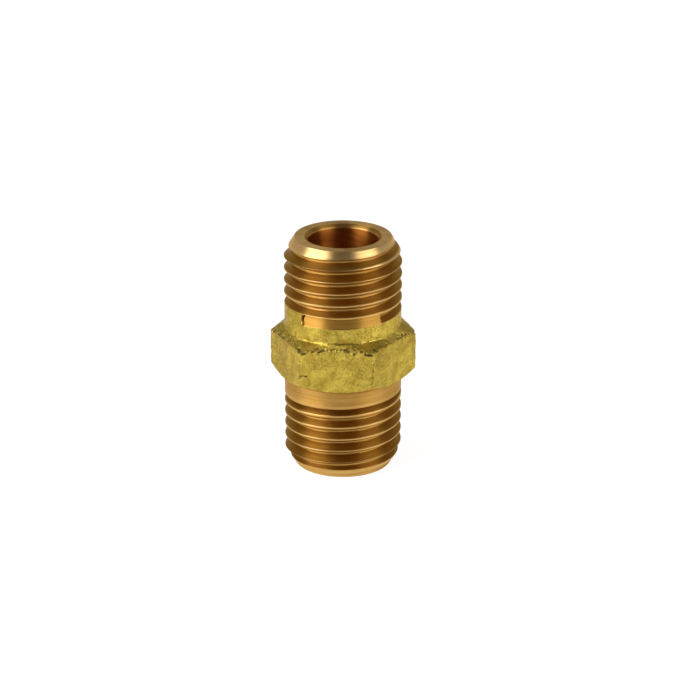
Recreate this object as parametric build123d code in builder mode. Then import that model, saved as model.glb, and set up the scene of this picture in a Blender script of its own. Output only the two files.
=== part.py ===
"""Hex nipple, 1/4-18 NPT at both ends: one hot-forged brass blank, turned, bored and threaded.

Millimetres. The axis is +Z, the origin is at the centre of the lower end face, and one wrench flat faces -Y.
Angles round the axis are measured from -Y towards +X.
"""

from build123d import *
from math import atan, cos, degrees, radians, tan
import os

# 1/4-18 NPT thread, ASME B1.20.1
pitch = 25.4 / 18
half_taper = 1 / 32
small_end_pitch_diameter = 12.1257
thread_height = 0.8 * pitch
root_flat = 0.038 * pitch
flank_slope = tan(radians(30))

# the turned blank: its radius cuts the thread's crests flat towards the hexagon
overall_length = 27.3
blank_radius = 6.70
bore_radius = 3.97
mouth_radius = 4.37
end_face_radius = 5.50
end_chamfer_length = 1.9

# the hexagon: a turned cone below, forged sloping facets above
across_flats = 14.6
hex_corner_fillet = 0.25
cone_start = 10.80
hex_bottom = 11.80
hex_top = 16.10
shoulder_angle = 45

# each groove: the height of its middle at -Y on its last turn, and the angle at which it stops
lower_groove_height = 8.64
lower_groove_stop = 125
upper_groove_height = 19.05
upper_groove_stop = 47
groove_turns = 7

# the shallow stretch with which the upper groove ends, beside the forged collar
relief_stop = -38
relief_depth = 0.12
relief_width = 1.20

# worked out from the above
cone_angle = degrees(atan(half_taper))
root_radius_at_end = 0.5 * (small_end_pitch_diameter - thread_height)
corner_radius = 0.5 * across_flats / cos(radians(30))
cutter_reach = thread_height + 0.02 * pitch
cone_cut_radius = corner_radius + 1
cone_cut_bottom = cone_start - 0.5


def groove_middle(height_at_front, angle):
    """Height of a right-hand groove's middle at an angle, on the turn that passes the given height at -Y."""
    return height_at_front + pitch * angle / 360


def plane_across(path):
    """The plane that holds the axis and the start of a path round the axis, with its x away from the axis."""
    start = path @ 0
    return Plane(origin=start, x_dir=(start.X, start.Y, 0), z_dir=(-start.Y, start.X, 0))


# the helix of the shallow stretch starts where the stretch stops, so it is turned to that angle
relief_height = groove_middle(upper_groove_height, relief_stop)
relief_rise = pitch * (upper_groove_stop - relief_stop) / 360
relief_path = Pos(0, 0, relief_height) * Rot(0, 0, relief_stop - 90) * Helix(pitch, relief_rise, blank_radius)

with BuildPart() as nipple_body:
    # the turned outline: a cylinder with a long chamfer at each end
    with BuildSketch(Plane.XZ):
        with BuildLine():
            Polyline(
                (0, 0),
                (end_face_radius, 0),
                (blank_radius, end_chamfer_length),
                (blank_radius, overall_length - end_chamfer_length),
                (end_face_radius, overall_length),
                (0, overall_length),
                close=True,
            )
        make_face()
    revolve(axis=Axis.Z)

    # the hexagon, then the flat facets that slope from its top in to the collar
    with BuildSketch(Plane.XY.offset(cone_start)) as hexagon:
        RegularPolygon(corner_radius, 6)
        fillet(hexagon.vertices(), hex_corner_fillet)
    extrude(amount=hex_top - cone_start)
    with BuildSketch(Plane.XY.offset(hex_top)) as hexagon_top:
        RegularPolygon(corner_radius, 6)
        fillet(hexagon_top.vertices(), hex_corner_fillet)
    extrude(amount=corner_radius - blank_radius, taper=shoulder_angle)

    # the cone turned under the hexagon, which leaves a rounded lower edge on each flat
    with BuildSketch(Plane.XZ):
        with BuildLine():
            Polyline(
                (blank_radius, cone_start),
                (corner_radius, hex_bottom),
                (cone_cut_radius, hex_bottom),
                (cone_cut_radius, cone_cut_bottom),
                (blank_radius, cone_cut_bottom),
                close=True,
            )
        make_face()
    revolve(axis=Axis.Z, mode=Mode.SUBTRACT)

    # the bore, with a small 45 degree chamfer at each mouth
    with BuildSketch(Plane.XZ):
        with BuildLine():
            Polyline(
                (0, 0),
                (mouth_radius, 0),
                (bore_radius, mouth_radius - bore_radius),
                (bore_radius, overall_length - (mouth_radius - bore_radius)),
                (mouth_radius, overall_length),
                (0, overall_length),
                close=True,
            )
        make_face()
    revolve(axis=Axis.Z, mode=Mode.SUBTRACT)

    # the two right-hand taper threads, each cut from outside its end face inwards
    for face_height, inwards, height, stop in (
        (0, 1, lower_groove_height, lower_groove_stop),
        (overall_length, -1, upper_groove_height, upper_groove_stop),
    ):
        start_height = groove_middle(height, 90 * inwards) - inwards * groove_turns * pitch
        start_radius = root_radius_at_end + (start_height - face_height) * inwards * half_taper
        with BuildLine() as groove:
            Helix(
                pitch,
                abs(groove_middle(height, stop) - start_height),
                start_radius,
                center=(0, 0, start_height),
                direction=(0, 0, inwards),
                cone_angle=cone_angle,
            )
        with BuildSketch(plane_across(groove.line)):
            with BuildLine():
                Polyline(
                    (0, root_flat / 2),
                    (cutter_reach, root_flat / 2 + cutter_reach * flank_slope),
                    (cutter_reach, -root_flat / 2 - cutter_reach * flank_slope),
                    (0, -root_flat / 2),
                    close=True,
                )
            make_face()
        sweep(path=groove.line, is_frenet=True, mode=Mode.SUBTRACT)

    # the shallow stretch beside the collar
    with BuildSketch(plane_across(relief_path)):
        Rectangle(2 * relief_depth, relief_width)
    sweep(path=relief_path, is_frenet=True, mode=Mode.SUBTRACT)

nipple_body.part.label = "nipple_body"
os.makedirs("parts", exist_ok=True)
export_step(nipple_body.part, "parts/nipple_body.step")
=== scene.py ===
import math

import bpy
import numpy as np
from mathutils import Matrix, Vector, noise


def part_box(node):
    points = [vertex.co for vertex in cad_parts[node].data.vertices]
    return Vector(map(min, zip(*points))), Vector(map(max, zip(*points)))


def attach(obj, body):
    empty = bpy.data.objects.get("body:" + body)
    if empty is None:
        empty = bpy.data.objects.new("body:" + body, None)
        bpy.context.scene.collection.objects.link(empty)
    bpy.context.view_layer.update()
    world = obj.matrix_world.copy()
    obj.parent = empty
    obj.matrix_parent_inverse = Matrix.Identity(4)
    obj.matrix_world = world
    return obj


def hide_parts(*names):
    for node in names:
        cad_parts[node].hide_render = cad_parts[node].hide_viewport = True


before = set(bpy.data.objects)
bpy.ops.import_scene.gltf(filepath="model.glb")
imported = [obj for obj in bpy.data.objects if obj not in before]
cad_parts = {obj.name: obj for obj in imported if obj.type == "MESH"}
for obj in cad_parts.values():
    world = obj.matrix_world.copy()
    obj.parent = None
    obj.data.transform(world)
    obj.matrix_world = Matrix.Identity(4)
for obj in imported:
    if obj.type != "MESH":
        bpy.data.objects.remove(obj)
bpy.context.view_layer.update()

# Sizes are in millimetres, as on the drawing, and become metres where a mesh is made.
# An angle round the axis is in degrees, from -Y towards +X; right-hand threads rise with it.
MM = 0.001
BODY_HIGH = Vector(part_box("nipple_body")[1]) / MM
LENGTH = BODY_HIGH.z
HALF_FLATS = BODY_HIGH.y

# the turned blank
BLANK_RADIUS = 6.70
BORE_RADIUS = 3.97
MOUTH_RADIUS = 4.37
END_FACE_RADIUS = 5.50
END_CHAMFER = 1.9
EDGE_ROUNDING = 0.04
CHAMFER_ROUNDING = 0.04

# the hexagon, with the forged collar over it
CONE_START = 10.80
HEX_BOTTOM = 11.80
HEX_TOP = 16.10
HEX_TOP_TILT = 0.20
CREASE = 16.70
PARTING_RISE = 0.5
PARTING_FROM = 0.9
CORNER_DROP = 0.25
CORNER_DROP_FROM = 0.35
SHOULDER_BLEND = 0.22
TOP_EDGE_BLEND = 0.10
CONE_BLEND = 0.03
HEX_CORNER_FILLET = 0.25
CORNER_RADIUS = HALF_FLATS / math.cos(math.radians(30))
COLLAR_FADE = 0.15

# the forged skin: how far its waves, its grain and its worn corners lie under the drawn shape
WAVE_SIZE, WAVE_DEPTH = 2.6, 0.05
GRAIN_SIZE, GRAIN_DEPTH, GRAIN_LEVEL = 0.55, 0.045, 0.15
WEAR_SIZE, WEAR_REACH, WEAR_DEPTH = 0.7, 0.40, 0.06
WEAR_MEAN, WEAR_VARIATION, WEAR_DARKENING = 0.55, 0.9, 0.3
FAR_FROM_CORNERS = 9.0
WANDER_SIZE, EDGE_WANDER = 1.1, 0.10
EDGE_STAIN, EDGE_STAIN_REACH = 0.42, 0.55
COLLAR_SKIN = 0.8
DEEPEST_PIT = 0.16

# dents in the hexagon: angle, height, half width, half height, depth
DENTS = [
    (-31.5, 15.80, 0.35, 0.16, 0.16),
    (-27.0, 15.65, 0.30, 0.20, 0.16),
    (-29.5, 13.90, 0.10, 1.50, 0.05),
    (-26.5, 12.95, 0.65, 0.10, 0.12),
    (9.7, 16.20, 0.40, 0.16, 0.18),
    (27.0, 15.80, 0.45, 0.14, 0.20),
    (30.3, 13.60, 0.18, 1.40, 0.05),
    (150.0, 15.90, 0.40, 0.14, 0.16),
    (98.0, 16.10, 0.35, 0.12, 0.14),
]

# small scale pits, crowded along the hexagon's upper edge and its corners, smaller off that edge
PITS_ON_EDGE, PITS_ON_CORNERS, PITS_ON_FLATS = 230, 60, 120
PIT_SIZE = 0.07, 0.18
PIT_SPREAD, PIT_SPREAD_ON_CORNERS = 0.11, 1.2
PIT_DEPTH, SMALLER_OFF_EDGE = 0.8, 0.65
RAGGED_SIZE, RAGGEDNESS, DENT_WALL = 0.22, 0.5, 0.8

# 1/4-18 NPT, with its roots cut flat a little above the standard's
PITCH = 25.4 / 18
HALF_TAPER = 1 / 32
FLANK = math.tan(math.radians(30))
ROOT_LEFT = 0.12
ROOT_RADIUS_AT_END = 0.5 * (12.1257 - 0.8 * PITCH) + ROOT_LEFT
ROOT_HALF_WIDTH = 0.019 * PITCH + ROOT_LEFT * FLANK
ROOT_ROUNDING = 0.03
CREST_ROUNDING = 0.03

# the grooves' middles at -Y on their last turns, the angles where they stop, and over how many
# degrees they fade out there
LOWER_GROOVE, LOWER_STOP, LOWER_FADE = 8.64, 125, 70
UPPER_GROOVE, UPPER_STOP, UPPER_FADE = 19.05, 45, 3

# the last turn of the lower groove has a steep wall on the collar's side
STEEP_WALL = 0.25

# the shallow stretch with which the upper groove ends
RELIEF_STOP = -38
RELIEF_FADE = 4
RELIEF_DEPTH, RELIEF_LEAN = 0.20, 0.13
RELIEF_HALF_WIDTH = 0.60
RELIEF_WALL, RELIEF_END_WALL, RELIEF_END_CURVE = 0.03, 0.05, 0.2
BITE_DEPTH, BITE_WIDTH = 0.28, 0.10

# the level rings at which the threads' rows end
LOWER_THREAD_TOP = 10.0
UPPER_THREAD_BOTTOM = 18.1

# the mesh: its columns crowd towards the hexagon's corners, and rows this close to a ring join it
COLUMNS = 348
BORE_RINGS = 16
CORNER_CROWDING = 0.45
CLOSEST = 0.012
GROOVE_REACH = 0.1, 0.66
SHARP_ANGLE = 20

# the traits that the mesh carries for its material: from 0 to 1, but "groove" is 2 in the bore;
# "groove" is how much painted shade a place gets, and "edge" how much painted highlight
TRAITS = "forged", "pits", "groove", "edge"
# how much painted shade each part gets: the bore, the mouths, the flanks, the roots, the shallow
# stretch and the collar
BORE_PAINTED_SHADE, MOUTH_PAINTED_SHADE = 2.0, 0.6
FLANK_PAINTED_SHADE, ROOT_PAINTED_SHADE, RELIEF_PAINTED_SHADE, COLLAR_PAINTED_SHADE = 0.76, 0.34, 0.64, 0.45
FLANK_BLEND, ROOT_BLEND = 0.06, 0.04
# heights between which the lower collar's painted shade comes in
LOWER_COLLAR_FROM, LOWER_COLLAR_TO = 9.1, 9.4
# painted highlight: how far it reaches from a crest's edge, the groove depths over which it comes
# in, and how much the upper chamfer gets
PAINTED_HIGHLIGHT_REACH = 0.05
PAINTED_HIGHLIGHT_DEPTHS = 0.1, 0.3
CHAMFER_PAINTED_HIGHLIGHT, CHAMFER_BLEND = 0.9, 0.1

# where each row of the thread lies across a pitch: 0 is the root, 1 the crest's edge, 2 its middle
THREAD_ROWS = (-2, -1.3, -1.0, -0.9, -0.55, -0.2, -0.12, 0.12, 0.2, 0.55, 0.9, 1.0, 1.3)

# colours, as linear light
TURNED_YELLOW = (0.70, 0.46, 0.145)
TURNED_RED = (0.62, 0.36, 0.090)
TURNED_DARK = (0.40, 0.19, 0.042)
TURNED_PAINTED_SHADE = (0.29, 0.130, 0.010)
TURNED_BORE_PAINTED_SHADE = (0.48, 0.17, 0.028)
TURNED_PAINTED_HIGHLIGHT = (0.86, 0.60, 0.28)
FORGED_YELLOW = (0.62, 0.46, 0.075)
FORGED_OLIVE = (0.40, 0.28, 0.040)
FORGED_GRAIN = (0.17, 0.11, 0.014)
FORGED_STAIN = (0.36, 0.17, 0.03)
FORGED_PIT = (0.06, 0.025, 0.006)
GRAZING = (0.85, 0.74, 0.58)

VIEW_AZIMUTH, VIEW_ELEVATION, VIEW_DISTANCE = 6.2, 21.35, 285.0
FLOOR_REACH = 3


def smooth_min(a, b, width):
    """The smaller of two radii, with the edge between them rounded."""
    h = np.clip(0.5 + 0.5 * (b - a) / width, 0, 1)
    return b + (a - b) * h - width * h * (1 - h)


def smooth_max(a, b, width):
    return -smooth_min(-a, -b, width)


def ramp(x, low, high):
    """Rises smoothly from 0 at `low` to 1 at `high`."""
    t = np.clip((x - low) / (high - low), 0, 1)
    return t * t * (3 - 2 * t)


def turned_from(first, angle):
    """The same angle, in the turn that starts at `first`."""
    return first + np.mod(angle - first, 360)


def blank_radius(z):
    """The turned outline: a cylinder with a long chamfer at each end."""
    from_end = np.minimum(z, LENGTH - z)
    chamfered = END_FACE_RADIUS + (BLANK_RADIUS - END_FACE_RADIUS) * from_end / END_CHAMFER
    return smooth_min(chamfered, BLANK_RADIUS, CHAMFER_ROUNDING)


class Groove:
    """A right-hand taper groove, cut inwards from its end face: +1 is upwards, -1 downwards."""

    def __init__(self, inwards, height, stop):
        self.inwards = inwards
        self.height = height
        self.first = stop - 360 if inwards > 0 else stop
        self.stop = stop

    def turn_at(self, angle, z):
        """How many pitches this lies above the middle of the groove's last turn."""
        return (z - self.height) / PITCH - turned_from(self.first, angle) / 360

    def full_depth(self, z):
        """From the blank down to the root, which follows the taper."""
        from_end = z if self.inwards > 0 else LENGTH - z
        return blank_radius(z) - ROOT_RADIUS_AT_END - from_end * HALF_TAPER

    def depth(self, angle, z, turn):
        """The groove's depth under the blank: it fades out in its last turn, and ends there."""
        angle = turned_from(self.first, angle)
        if self.inwards > 0:
            last = 1 - ramp(angle, self.stop - LOWER_FADE, self.stop)
        else:
            last = ramp(angle, self.stop, self.stop + UPPER_FADE)
        turns_past = turn * self.inwards
        share = np.where(turns_past < 0, 1.0, np.where(turns_past > 0, 0.0, last))
        return share * self.full_depth(z)

    def flank(self, turn, side):
        """How far a wall leans: as the tool cuts it, but steep beside the lower collar."""
        beside_collar = (turn == 0) & (side > 0) & (self.inwards > 0)
        return np.where(beside_collar, STEEP_WALL * FLANK, FLANK)

    def radius(self, angle, z):
        """The threaded outside: its radius, its painted highlight along the crests' edges and over
        the upper chamfer, and its painted shade in the groove.
        """
        along = self.turn_at(angle, z)
        turn = np.round(along)
        across = (along - turn) * PITCH
        depth = self.depth(angle, z, turn)
        root = blank_radius(z) - depth
        past_root = np.maximum(np.abs(across) - ROOT_HALF_WIDTH, 0)
        wall = np.hypot(past_root / self.flank(turn, across), ROOT_ROUNDING) - ROOT_ROUNDING
        radius = smooth_min(root + wall, blank_radius(z), CREST_ROUNDING)
        under = blank_radius(z) - root - wall
        # painted highlight along the crests' edges where the groove is deep enough, and over the
        # upper chamfer
        edge = ramp(PAINTED_HIGHLIGHT_REACH - np.abs(under), 0, PAINTED_HIGHLIGHT_REACH) * ramp(depth, *PAINTED_HIGHLIGHT_DEPTHS)
        on_upper_chamfer = ramp(z - LENGTH + END_CHAMFER, 0, CHAMFER_BLEND)
        chamfer_highlight = CHAMFER_PAINTED_HIGHLIGHT * on_upper_chamfer * ramp(-under, -PAINTED_HIGHLIGHT_REACH, 0)
        # painted shade: most at the root, less up the flanks, none on the crest
        groove_painted_shade = ROOT_PAINTED_SHADE + (FLANK_PAINTED_SHADE - ROOT_PAINTED_SHADE) * ramp(past_root, 0, ROOT_BLEND)
        return radius, np.maximum(edge, chamfer_highlight), groove_painted_shade * ramp(under, 0, FLANK_BLEND)

    def edge(self, angle, middle, side):
        """How far from the groove's middle its edge lies, on the side above (+1) or below (-1).

        The depth there depends on the answer, so each round starts from the last one's.
        """
        turn = np.round(self.turn_at(angle, middle))
        reach = np.full_like(middle, 0.5)
        for _ in range(12):
            depth = self.depth(angle, middle + side * reach, turn)
            reach = np.clip(ROOT_HALF_WIDTH + self.flank(turn, side) * depth, *GROOVE_REACH)
        return reach


LOWER = Groove(1, LOWER_GROOVE, LOWER_STOP)
UPPER = Groove(-1, UPPER_GROOVE, UPPER_STOP)


def relief_middle(angle):
    """Height of the shallow stretch's middle: level at its end, then rising with the thread."""
    return UPPER_GROOVE + PITCH * np.maximum(angle, 0) / 360


def relief_cut(angle, z):
    """The shallow stretch's depth: it has a leaning bottom, steep walls and a bitten end."""
    angle = turned_from(-180, angle)
    across = z - relief_middle(angle)
    end_curve = RELIEF_END_CURVE * (across / RELIEF_HALF_WIDTH) ** 2
    past_end = np.radians(angle - RELIEF_STOP) * BLANK_RADIUS - end_curve
    inside = ramp(past_end, -RELIEF_END_WALL, RELIEF_END_WALL)
    inside = inside * (1 - ramp(angle, UPPER_STOP, UPPER_STOP + RELIEF_FADE))
    depth = RELIEF_DEPTH + RELIEF_LEAN * across / RELIEF_HALF_WIDTH
    depth = depth + BITE_DEPTH * (1 - ramp(past_end, BITE_WIDTH, 2 * BITE_WIDTH))
    return depth * inside * ramp(RELIEF_HALF_WIDTH - np.abs(across), -RELIEF_WALL, RELIEF_WALL)


def forged_above(angle, z):
    """1 on the raw collar and 0 on the thread: the skin ends along the last groove's lower edge."""
    last = turned_from(RELIEF_STOP, angle)
    return (z < relief_middle(last) - RELIEF_HALF_WIDTH).astype(float)


def angle_from_flat(angle):
    """How far an angle is from the middle of the nearest flat, in radians."""
    return np.radians(np.abs(np.mod(angle + 30, 60) - 30))


def hexagon_radius(angle, half_flats, fillet):
    """The radius of a hexagon with rounded corners; one flat faces -Y."""
    from_flat = angle_from_flat(angle)
    flat = half_flats / np.cos(from_flat)
    to_corner = math.radians(30) - from_flat
    centre = (half_flats - fillet) / math.cos(math.radians(30))
    root = np.maximum(fillet**2 - (centre * np.sin(to_corner)) ** 2, 0)
    rounded = centre * np.cos(to_corner) + np.sqrt(root)
    on_flat = np.tan(from_flat) * half_flats < (half_flats - fillet) * math.tan(math.radians(30))
    return np.where(on_flat, flat, rounded)


def cone_radius(z):
    """The cone turned under the hexagon."""
    slope = (CORNER_RADIUS - BLANK_RADIUS) / (HEX_BOTTOM - CONE_START)
    return BLANK_RADIUS + (z - CONE_START) * slope


def noise_on(angle, z, size, seed):
    """Smooth noise from -1 to 1 over the outside, with features of about this size."""
    turn = np.radians(angle)
    x, y = BLANK_RADIUS * np.sin(turn), -BLANK_RADIUS * np.cos(turn)
    points = np.stack([x, y, z + 50.0 * seed], axis=-1) / size
    return np.array([noise.noise(Vector(point)) for point in points])


def hexagon_top(angle):
    """The height of the hexagon's upper edge: forged a little askew, and not quite straight."""
    wander = EDGE_WANDER * noise_on(angle, np.zeros_like(angle), WANDER_SIZE, 4)
    drop = CORNER_DROP * ramp(angle_from_flat(angle), CORNER_DROP_FROM, math.radians(30))
    return HEX_TOP + HEX_TOP_TILT * np.sin(np.radians(angle)) + wander - drop


def crease_height(angle):
    """Where the shoulder meets the collar: a circle, but higher where the forging dies met."""
    side = np.sin(np.radians(angle))
    return CREASE + HEX_TOP_TILT * side + PARTING_RISE * ramp(np.abs(side), PARTING_FROM, 1.0)


def scale_pits():
    """Places small pits: angle, height, half width, half height, depth."""
    chance = np.random.default_rng(7)
    angles = chance.uniform(0, 360, PITS_ON_EDGE)
    heights = hexagon_top(angles) + chance.normal(0, PIT_SPREAD, PITS_ON_EDGE)
    places = list(zip(angles, heights))
    for _ in range(PITS_ON_CORNERS):
        angle = 60 * chance.integers(6) + 30 + chance.normal(0, PIT_SPREAD_ON_CORNERS)
        places.append((angle, chance.uniform(HEX_BOTTOM, HEX_TOP)))
    for _ in range(PITS_ON_FLATS):
        angle = chance.uniform(0, 360)
        places.append((angle, chance.uniform(HEX_BOTTOM, HEX_TOP)))
    for k, (angle, height) in enumerate(places):
        size = chance.uniform(*PIT_SIZE) * (1.0 if k < PITS_ON_EDGE else SMALLER_OFF_EDGE)
        yield angle, height, size * chance.uniform(1, 2), size, PIT_DEPTH * size


ALL_DENTS = [*DENTS, *scale_pits()]


def dent_depth(angle, z):
    """How deep the dents and scale pits are here."""
    depth = np.zeros_like(z)
    ragged = RAGGEDNESS * noise_on(angle, z, RAGGED_SIZE, 7)
    for middle, height, half_width, half_height, deepest in ALL_DENTS:
        across = np.radians(np.mod(angle - middle + 180, 360) - 180) * HALF_FLATS
        outside = (across / half_width) ** 2 + ((z - height) / half_height) ** 2
        depth = np.maximum(depth, deepest * ramp(1 + ragged - outside, 0.0, DENT_WALL))
    return depth


def skin_depth(angle, z, from_corner):
    """How far the forged skin lies under the drawn shape, and how pitted it is, from 0 to 1."""
    waves = WAVE_DEPTH * (0.5 + 0.5 * noise_on(angle, z, WAVE_SIZE, 1))
    grain = GRAIN_DEPTH * np.maximum(noise_on(angle, z, GRAIN_SIZE, 2) + GRAIN_LEVEL, 0)
    uneven = WEAR_MEAN + WEAR_VARIATION * noise_on(angle, z, WEAR_SIZE, 3)
    worn = WEAR_DEPTH * ramp(WEAR_REACH - from_corner, 0, WEAR_REACH) * uneven
    pits = dent_depth(angle, z)
    pitted = np.clip(pits / DEEPEST_PIT + worn / WEAR_DEPTH * WEAR_DARKENING, 0, 1)
    return waves + grain + np.maximum(worn, 0) + pits, pitted


def body_radius(angle, z):
    """The middle of the fitting: its radius, its pits, and whether it is the upper collar."""
    top = hexagon_top(angle)
    from_corner = (math.radians(30) - angle_from_flat(angle)) * CORNER_RADIUS
    depth, pits = skin_depth(angle, z, from_corner)
    outline = hexagon_radius(angle, HALF_FLATS, HEX_CORNER_FILLET)
    risen = (z - top) / (crease_height(angle) - top)
    shoulder = smooth_min(outline, outline + (BLANK_RADIUS - outline) * risen, TOP_EDGE_BLEND)
    collar = ramp(BLANK_RADIUS - shoulder, -COLLAR_FADE, 0)
    hexagon = smooth_max(shoulder, BLANK_RADIUS, SHOULDER_BLEND) - depth
    cone = np.maximum(cone_radius(z), BLANK_RADIUS)
    stain = EDGE_STAIN * ramp(EDGE_STAIN_REACH - np.abs(z - top), 0, EDGE_STAIN_REACH)
    pits = np.maximum(pits, stain)
    return smooth_min(hexagon, cone, CONE_BLEND), pits * (hexagon < cone), collar


def lower_surface(angle, z):
    """The lower end: its radius, then its traits in the order of TRAITS."""
    radius, edge, groove_painted_shade = LOWER.radius(angle, z)
    # painted shade from the groove, with more of it on the lower collar
    painted_shade = groove_painted_shade + COLLAR_PAINTED_SHADE * ramp(z, LOWER_COLLAR_FROM, LOWER_COLLAR_TO)
    return radius, 0 * z, 0 * z, painted_shade, edge


def middle_surface(angle, z):
    """The hexagon with the cone under it and the shoulder over it: radius and traits, as above."""
    radius, pits, collar = body_radius(angle, z)
    forged = (z > CONE_START) & (radius < cone_radius(z) - 0.01)
    # the turned cone and collar here get the collar's painted shade
    return radius, forged * (1 - collar * (1 - COLLAR_SKIN)), pits, COLLAR_PAINTED_SHADE + 0 * z, 0 * z


def upper_surface(angle, z):
    """The thread, the shallow stretch, and the forged collar under them: radius and traits."""
    forged = forged_above(angle, z)
    depth, pits = skin_depth(angle, z, np.full_like(z, FAR_FROM_CORNERS))
    raw = blank_radius(z) - forged * depth
    threaded, edge, groove_painted_shade = UPPER.radius(angle, z)
    relief = relief_cut(angle, z)
    radius = np.minimum(np.minimum(threaded, raw), blank_radius(z) - relief)
    bite = ramp(relief, RELIEF_DEPTH + RELIEF_LEAN, RELIEF_DEPTH + BITE_DEPTH)
    in_relief = ramp(relief, 0, 0.05)
    # painted shade in the groove, and more of it in the shallow stretch, which gets no painted
    # highlight
    painted_shade = np.maximum(groove_painted_shade, RELIEF_PAINTED_SHADE * in_relief)
    pits = np.maximum(pits * forged, bite)
    return radius, forged * COLLAR_SKIN, pits, painted_shade, edge * (1 - in_relief)


class Skin:
    """Collects the rings, rows and faces of one closed mesh round the axis."""

    def __init__(self):
        even = np.arange(COLUMNS + 1) * 360 / COLUMNS
        self.angles = even + np.degrees(CORNER_CROWDING / 6 * np.sin(np.radians(6 * even)))
        self.points, self.traits, self.tool_path, self.faces = [], [], [], []
        self.count = 0

    def add(self, surface, angle, z):
        """Adds points on a surface and gives their numbers."""
        radius, *traits = surface(angle, z)
        turn = np.radians(angle)
        lead = 2 * math.pi * z / PITCH - turn
        self.tool_path.append(np.stack([np.cos(lead), np.sin(lead), 0 * z], axis=-1))
        self.points.append(np.stack([radius * np.sin(turn), -radius * np.cos(turn), z], axis=-1))
        self.traits.append(np.stack(traits, axis=-1))
        self.count += len(z)
        return np.arange(self.count - len(z), self.count)

    def row(self, surface, z):
        """One point of a surface in every column, at one height or at a height for each."""
        angle = self.angles[:-1]
        return self.add(surface, angle, z + np.zeros_like(angle))

    def ring(self, radius, z, painted_shade, edge=0.0):
        """A plain turned circle."""

        def circle(angle, z):
            return radius + 0 * z, 0 * z, 0 * z, painted_shade + 0 * z, edge + 0 * z

        return self.row(circle, z)

    def quads(self, low, high, next_low, next_high):
        """Faces between a column and the next; points that coincide make triangles of them."""
        for corners in zip(low, next_low, next_high, high):
            unique = [c for k, c in enumerate(corners) if c != corners[k - 1]]
            if len(unique) > 2:
                self.faces.append([int(c) for c in unique])

    def bridge(self, low, high):
        """Faces between two closed rows."""
        self.quads(low, high, np.roll(low, -1), np.roll(high, -1))

    def thread(self, groove, surface, low_ring, low, high_ring, high):
        """Rows that follow a groove, from the ring `low_ring` at height `low` up to the other ring.

        After a full turn, each row meets the row one pitch up.
        """
        first_turn = math.floor((low - groove.height) / PITCH) - 2
        last_turn = math.ceil((high - groove.height) / PITCH) + 1
        share = np.array(THREAD_ROWS)[:, None]
        side = np.where(share < 0, -1, 1)
        angle = np.broadcast_to(self.angles, (len(THREAD_ROWS), COLUMNS + 1))
        rows = []
        for turn in range(first_turn, last_turn + 1):
            middle = groove.height + PITCH * (turn + angle / 360)
            edge = groove.edge(angle, middle, side)
            edge = np.maximum(edge, relief_edge(groove, angle, middle, side))
            past_edge = np.maximum(np.abs(share) - 1, 0) * (PITCH / 2 - edge)
            rows.append(middle + side * (np.minimum(np.abs(share), 1) * edge + past_edge))
        z = np.concatenate(rows)
        angle = np.broadcast_to(self.angles, z.shape)
        numbers = np.full(z.shape, -1)
        inside = (z > low + CLOSEST) & (z < high - CLOSEST)
        inside[:, COLUMNS] = False
        numbers[inside] = self.add(surface, angle[inside], z[inside])
        own, heights = numbers[:, :COLUMNS], z[:, :COLUMNS]
        own[:] = np.where(heights <= low + CLOSEST, low_ring, own)
        own[:] = np.where(heights >= high - CLOSEST, high_ring, own)
        pitch_up = np.minimum(np.arange(len(z)) + len(THREAD_ROWS), len(z) - 1)
        numbers[:, COLUMNS] = numbers[pitch_up, 0]
        for row, above in zip(numbers[:-1], numbers[1:]):
            self.quads(row[:-1], above[:-1], row[1:], above[1:])


def relief_edge(groove, angle, middle, side):
    """Rows also follow the walls of the shallow stretch."""
    if groove is LOWER:
        return 0.0
    angle = turned_from(-180, angle)
    above = relief_middle(angle) - middle
    within = (angle > RELIEF_STOP - 2) & (angle < UPPER_STOP + RELIEF_FADE)
    within = within & (np.abs(above) < PITCH / 4)
    return np.where(within, RELIEF_HALF_WIDTH + side * above, 0.0)


def middle_rows(skin):
    """Heights of the rows between the two threads; each follows the edges of the hexagon."""
    angle = skin.angles[:-1]
    hexagon = hexagon_radius(angle, HALF_FLATS, HEX_CORNER_FILLET)
    cone_rise = (hexagon - BLANK_RADIUS) * (HEX_BOTTOM - CONE_START)
    full = np.ones_like(angle)
    stations = (
        LOWER_THREAD_TOP * full,
        CONE_START * full,
        CONE_START + cone_rise / (CORNER_RADIUS - BLANK_RADIUS),
        hexagon_top(angle),
        crease_height(angle),
        UPPER_THREAD_BOTTOM * full,
    )
    # how far up each stretch between two stations its rows lie
    shares = (
        (0.25, 0.5, 0.75, 0.9, 0.96, 1.0),
        (0.05, 0.15, 0.35, 0.6, 0.85, 0.95, 1.0),
        (0.015, 0.03, *np.linspace(0.06, 0.94, 32), 0.975, 0.99, 1.0),
        (0.05, 0.12, *np.linspace(0.22, 0.78, 7), 0.88, 0.95, 1.0),
        (0.05, 0.12, *np.linspace(0.22, 0.9, 9)),
    )
    for k, stretch in enumerate(shares):
        for share in stretch:
            yield stations[k] + (stations[k + 1] - stations[k]) * share


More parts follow.
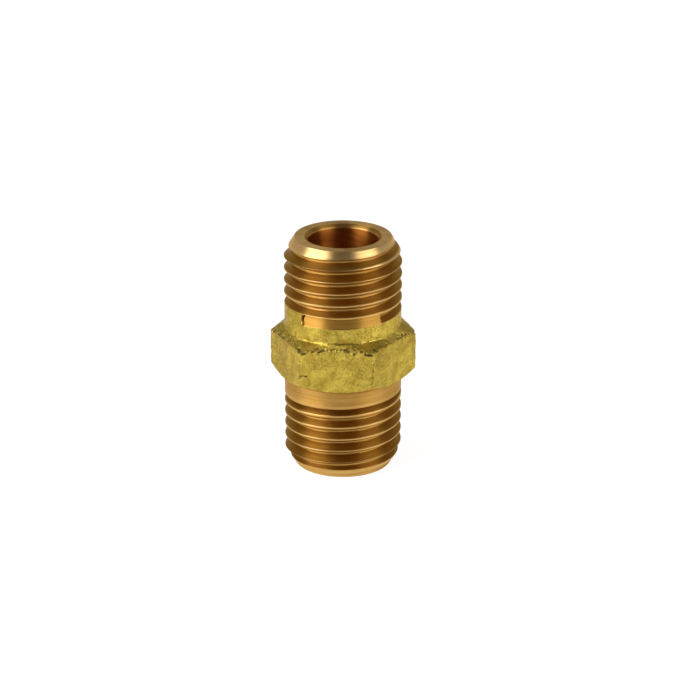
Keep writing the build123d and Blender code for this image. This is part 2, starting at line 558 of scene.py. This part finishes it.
def make_body():
    """The whole fitting, down through the bore and up the outside."""
    skin = Skin()
    chamfer = MOUTH_RADIUS - BORE_RADIUS
    rounding = EDGE_ROUNDING
    heights = np.linspace(LENGTH - chamfer - rounding, chamfer + rounding, BORE_RINGS)
    # the bore, in the deepest painted shade
    bore = [skin.ring(BORE_RADIUS, z, BORE_PAINTED_SHADE) for z in heights]
    # the rings of a mouth and its end face: radius, height, painted shade, painted highlight
    mouth = [
        (BORE_RADIUS + rounding, chamfer - rounding, MOUTH_PAINTED_SHADE, 0.9),
        (BORE_RADIUS + 2 * rounding, chamfer - 2 * rounding, MOUTH_PAINTED_SHADE, 0.0),
        (MOUTH_RADIUS - rounding, rounding, MOUTH_PAINTED_SHADE, 0.0),
        (MOUTH_RADIUS + rounding, 0.0, 0.0, 0.9),
        (MOUTH_RADIUS + 2 * rounding, 0.0, 0.0, 0.7),
        (END_FACE_RADIUS - 2 * rounding, 0.0, 0.0, 0.7),
        (END_FACE_RADIUS - rounding, 0.0, 0.0, 1.0),
    ]
    lower_mouth = [skin.ring(radius, z, painted_shade, edge) for radius, z, painted_shade, edge in mouth]
    upper_mouth = [skin.ring(radius, LENGTH - z, painted_shade, edge) for radius, z, painted_shade, edge in mouth]
    lower_rim = skin.row(lower_surface, rounding)
    upper_rim = skin.row(upper_surface, LENGTH - rounding)
    for low, high in zip([*bore, *lower_mouth], [*bore[1:], *lower_mouth, lower_rim]):
        skin.bridge(low, high)
    lower_top = skin.row(lower_surface, LOWER_THREAD_TOP)
    skin.thread(LOWER, lower_surface, lower_rim, rounding, lower_top, LOWER_THREAD_TOP)
    below = lower_top
    for z in middle_rows(skin):
        row = skin.row(middle_surface, z)
        skin.bridge(below, row)
        below = row
    upper_bottom = skin.row(upper_surface, UPPER_THREAD_BOTTOM)
    skin.bridge(below, upper_bottom)
    rim_height = LENGTH - rounding
    skin.thread(UPPER, upper_surface, upper_bottom, UPPER_THREAD_BOTTOM, upper_rim, rim_height)
    for low, high in zip([upper_rim, *upper_mouth[::-1]], [*upper_mouth[::-1], bore[0]]):
        skin.bridge(low, high)
    return skin


def mesh_object(name, skin):
    mesh = bpy.data.meshes.new(name)
    mesh.from_pydata(np.concatenate(skin.points) * MM, [], skin.faces)
    mesh.validate()
    traits = np.concatenate(skin.traits)
    for column, trait in enumerate(TRAITS):
        attribute = mesh.attributes.new(trait, "FLOAT", "POINT")
        attribute.data.foreach_set("value", traits[:, column].astype(np.float32))
    tool_path = mesh.attributes.new("tool_path", "FLOAT_VECTOR", "POINT")
    tool_path.data.foreach_set("vector", np.concatenate(skin.tool_path).astype(np.float32).ravel())
    mesh.shade_smooth()
    mesh.set_sharp_from_angle(angle=math.radians(SHARP_ANGLE))
    piece = bpy.data.objects.new(name, mesh)
    bpy.context.collection.objects.link(piece)
    return piece


class Graph:
    """A material's nodes. Each call adds one node and gives its output."""

    def __init__(self, name):
        self.material = bpy.data.materials.new(name)
        self.material.use_nodes = True
        self.tree = self.material.node_tree
        self.shader = self.tree.nodes["Principled BSDF"]

    def put(self, socket, value):
        if isinstance(value, bpy.types.NodeSocket):
            self.tree.links.new(value, socket)
        else:
            socket.default_value = value

    def add(self, kind, inputs, output=0, **settings):
        made = self.tree.nodes.new(kind)
        for setting, value in settings.items():
            setattr(made, setting, value)
        for key, value in inputs.items():
            self.put(made.inputs[key], value)
        return made.outputs[output]

    def trait(self, name, output="Fac"):
        return self.add("ShaderNodeAttribute", {}, output, attribute_name=name)

    def stretched(self, vector, x, y, z):
        return self.add("ShaderNodeVectorMath", {0: vector, 1: (x, y, z)}, operation="MULTIPLY")

    def noise(self, vector, scale, detail=2.0, roughness=0.5):
        inputs = {"Vector": vector, "Scale": scale, "Detail": detail, "Roughness": roughness}
        return self.add("ShaderNodeTexNoise", inputs)

    def between(self, value, low, high, to_low=0.0, to_high=1.0):
        inputs = {"Value": value, "From Min": low, "From Max": high}
        inputs |= {"To Min": to_low, "To Max": to_high}
        return self.add("ShaderNodeMapRange", inputs)

    def arithmetic(self, operation, a, b):
        return self.add("ShaderNodeMath", {0: a, 1: b}, operation=operation)

    def mix(self, share, a, b):
        a, b = ((*colour, 1) if isinstance(colour, tuple) else colour for colour in (a, b))
        return self.add("ShaderNodeMix", {0: share, 6: a, 7: b}, 2, data_type="RGBA")

    def blend(self, share, a, b):
        return self.add("ShaderNodeMix", {0: share, 2: a, 3: b}, 0, data_type="FLOAT")

    def bump(self, height, distance, strength):
        inputs = {"Height": height, "Distance": distance, "Strength": strength}
        return self.add("ShaderNodeBump", inputs)


def brass_material():
    """Bright turned brass and raw forged skin, told apart by the mesh's "forged" trait."""
    graph = Graph("brass")
    place = graph.add("ShaderNodeTexCoord", {}, "Object")
    place = graph.add("ShaderNodeVectorMath", {0: place, "Scale": 1 / MM}, operation="SCALE")
    ragged = graph.between(graph.noise(place, 2.2, 3.0), 0.3, 0.7, -0.12, 0.12)
    forged = graph.arithmetic("ADD", graph.trait("forged"), ragged)
    forged = graph.between(forged, 0.4, 0.6)
    pits = graph.trait("pits")
    groove = graph.trait("groove")

    # turned: fine rings round the axis, with painted shade, darker and redder, in the grooves, on
    # the lower collar and in the bore, and painted highlight on the edges
    drift = graph.stretched(place, 0.06, 0.06, 0.06)
    tool_path = graph.trait("tool_path", "Vector")
    tool_path = graph.add("ShaderNodeVectorMath", {0: tool_path, 1: drift}, operation="ADD")
    rings = graph.noise(tool_path, 2.4, 4.0, 0.6)
    cloud = graph.noise(place, 0.35, 2.0)
    turned = graph.mix(cloud, TURNED_RED, TURNED_YELLOW)
    turned = graph.mix(graph.between(rings, 0.40, 0.62, 0.0, 0.75), turned, TURNED_DARK)
    # painted shade: darker and redder where the "groove" trait is high
    turned = graph.mix(graph.between(groove, 0.05, 0.8, 0.0, 0.85), turned, TURNED_PAINTED_SHADE)
    # the deepest painted shade, in the bore
    turned = graph.mix(graph.between(groove, 1.2, 1.8), turned, TURNED_BORE_PAINTED_SHADE)
    # painted highlight on the crests' edges, the rims, the end faces and the upper chamfer
    turned = graph.mix(graph.arithmetic("MULTIPLY", graph.trait("edge"), 0.45), turned, TURNED_PAINTED_HIGHLIGHT)
    turned_roughness = graph.between(rings, 0.3, 0.7, 0.28, 0.44)

    # forged: mottled yellow-green scale with olive patches, brown stains and a sandy grain
    patches = graph.noise(place, 0.7, 4.0, 0.6)
    speckle = graph.noise(place, 4.6, 3.0, 0.7)
    coarse = graph.between(graph.noise(place, 0.22, 1.0), 0.35, 0.6, 0.35, 1.0)
    stains = graph.noise(graph.stretched(place, 1.0, 1.0, 0.7), 0.8, 3.0, 0.55)
    skin = graph.mix(graph.between(patches, 0.36, 0.64), FORGED_OLIVE, FORGED_YELLOW)
    dark_grain = graph.arithmetic("MULTIPLY", graph.between(speckle, 0.49, 0.61), coarse)
    skin = graph.mix(graph.arithmetic("MULTIPLY", dark_grain, 0.85), skin, FORGED_GRAIN)
    skin = graph.mix(graph.between(stains, 0.60, 0.72, 0.0, 0.6), skin, FORGED_STAIN)
    skin_roughness = graph.between(speckle, 0.3, 0.7, 0.26, 0.42)

    sandy = graph.between(graph.trait("forged"), COLLAR_SKIN, 1.0, 0.3, 1.0)
    grain = graph.bump(graph.noise(place, 4.0, 3.0, 0.7), 0.10 * MM, sandy)
    lathe = graph.bump(rings, 0.016 * MM, 0.8)
    normal = graph.add("ShaderNodeMix", {0: forged, 4: lathe, 5: grain}, 1, data_type="VECTOR")
    colour = graph.mix(forged, turned, skin)
    colour = graph.mix(graph.between(pits, 0.15, 0.8, 0.0, 0.85), colour, FORGED_PIT)
    graph.put(graph.shader.inputs["Base Color"], colour)
    roughness = graph.blend(forged, turned_roughness, skin_roughness)
    graph.put(graph.shader.inputs["Roughness"], roughness)
    graph.put(graph.shader.inputs["Metallic"], graph.blend(pits, 1.0, 0.6))
    graph.put(graph.shader.inputs["Normal"], normal)
    brushed = graph.blend(forged, 0.85, graph.between(sandy, 0.3, 1.0, 0.7, 0.0))
    graph.put(graph.shader.inputs["Anisotropic"], brushed)
    graph.put(graph.shader.inputs["Anisotropic Rotation"], 0.25)
    graph.put(graph.shader.inputs["Specular Tint"], (*GRAZING, 1))
    around = graph.add("ShaderNodeTangent", {}, direction_type="RADIAL", axis="Z")
    graph.put(graph.shader.inputs["Tangent"], around)
    return graph.material


def floor_material():
    """Pale grey that also glows, so that it comes out nearly white."""
    graph = Graph("floor")
    place = graph.add("ShaderNodeTexCoord", {}, "Object")
    tone = graph.mix(graph.noise(place, 6.0), (0.19, 0.19, 0.19), (0.21, 0.21, 0.21))
    graph.put(graph.shader.inputs["Base Color"], tone)
    graph.put(graph.shader.inputs["Roughness"], 0.9)
    graph.put(graph.shader.inputs["Specular IOR Level"], 0.1)
    graph.put(graph.shader.inputs["Emission Color"], (1, 1, 1, 1))
    graph.put(graph.shader.inputs["Emission Strength"], 0.86)
    return graph.material


body = mesh_object("nipple", make_body())
body.data.materials.append(brass_material())
weighted = body.modifiers.new("weighted_normals", "WEIGHTED_NORMAL")
weighted.weight = 50
weighted.keep_sharp = True
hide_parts("nipple_body")
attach(body, "root")

# the camera
CENTRE = Vector((0, 0, LENGTH / 2))


def direction(azimuth, elevation):
    """A unit vector from the fitting; the azimuth is counted from -Y towards +X, in degrees."""
    turn, rise = math.radians(azimuth), math.radians(elevation)
    level = math.cos(rise)
    return Vector((math.sin(turn) * level, -math.cos(turn) * level, math.sin(rise)))


def aim(piece, azimuth, elevation, distance):
    """Stands a light or a camera off in that direction, turned to the fitting."""
    towards = direction(azimuth, elevation)
    piece.location = (CENTRE + towards * distance) * MM
    piece.rotation_mode = "QUATERNION"
    piece.rotation_quaternion = (-towards).to_track_quat("-Z", "Y")
    bpy.context.collection.objects.link(piece)


camera_data = bpy.data.cameras.new("camera")
camera_data.lens = 128.0
camera_data.sensor_width = 36.0
camera_data.shift_x = 0.010
camera_data.shift_y = -0.002
camera_data.clip_start = 0.01
camera = bpy.data.objects.new("camera", camera_data)
aim(camera, VIEW_AZIMUTH, VIEW_ELEVATION, VIEW_DISTANCE)
bpy.context.scene.camera = camera


def softbox(name, azimuth, elevation, distance, width, height, brightness, reflected=True):
    """A rectangular light, its azimuth counted from the camera's.

    The brass is all mirror, so a light that isn't reflected only reaches the floor.
    """
    light = bpy.data.lights.new(name, "AREA")
    light.shape = "RECTANGLE"
    light.size = width * MM
    light.size_y = height * MM
    light.energy = brightness * math.pi * light.size * light.size_y
    lamp = bpy.data.objects.new(name, light)
    lamp.visible_glossy = reflected
    aim(lamp, VIEW_AZIMUTH + azimuth, elevation, distance)


softbox("left_softbox", -64, 28, 420, width=360, height=380, brightness=4.2)
softbox("right_softbox", 58, 28, 420, width=330, height=380, brightness=2.4)
softbox("floor_light", 0, 89, 900, width=900, height=900, brightness=1.3, reflected=False)

# the floor
floor_mesh = bpy.data.meshes.new("floor")
corners = [FLOOR_REACH * Vector(corner) for corner in ((-1, -1), (1, -1), (1, 1), (-1, 1))]
floor_mesh.from_pydata([(*corner, 0) for corner in corners], [], [(0, 1, 2, 3)])
floor = bpy.data.objects.new("floor", floor_mesh)
bpy.context.collection.objects.link(floor)
floor_mesh.materials.append(floor_material())

# the studio round it: pale near the horizon, dim overhead, dark behind the camera
world = bpy.data.worlds.new("world")
world.use_nodes = True
nodes, links = world.node_tree.nodes, world.node_tree.links


def sky_ramp(value, low, high, at_low, at_high):
    """Goes from `at_low` to `at_high` as the value goes from `low` to `high`."""
    shade = nodes.new("ShaderNodeMapRange")
    links.new(value, shade.inputs["Value"])
    limits = {"From Min": low, "From Max": high, "To Min": at_low, "To Max": at_high}
    for key, number in limits.items():
        shade.inputs[key].default_value = number
    return shade.outputs["Result"]


sky_place = nodes.new("ShaderNodeTexCoord").outputs["Generated"]
sky_height = nodes.new("ShaderNodeSeparateXYZ")
links.new(sky_place, sky_height.inputs[0])
sky_front = nodes.new("ShaderNodeVectorMath")
sky_front.operation = "DOT_PRODUCT"
links.new(sky_place, sky_front.inputs[0])
sky_front.inputs[1].default_value = direction(VIEW_AZIMUTH, 20)
sky = nodes.new("ShaderNodeMath")
sky.operation = "MULTIPLY"
links.new(sky_ramp(sky_height.outputs["Z"], 0.42, 0.65, 0.50, 0.25), sky.inputs[0])
links.new(sky_ramp(sky_front.outputs["Value"], 0.55, 0.88, 1.0, 0.15), sky.inputs[1])
nodes["Background"].inputs["Color"].default_value = (1, 1, 1, 1)
links.new(sky.outputs[0], nodes["Background"].inputs["Strength"])
bpy.context.scene.world = world
bpy.context.scene.view_settings.view_transform = "Standard"
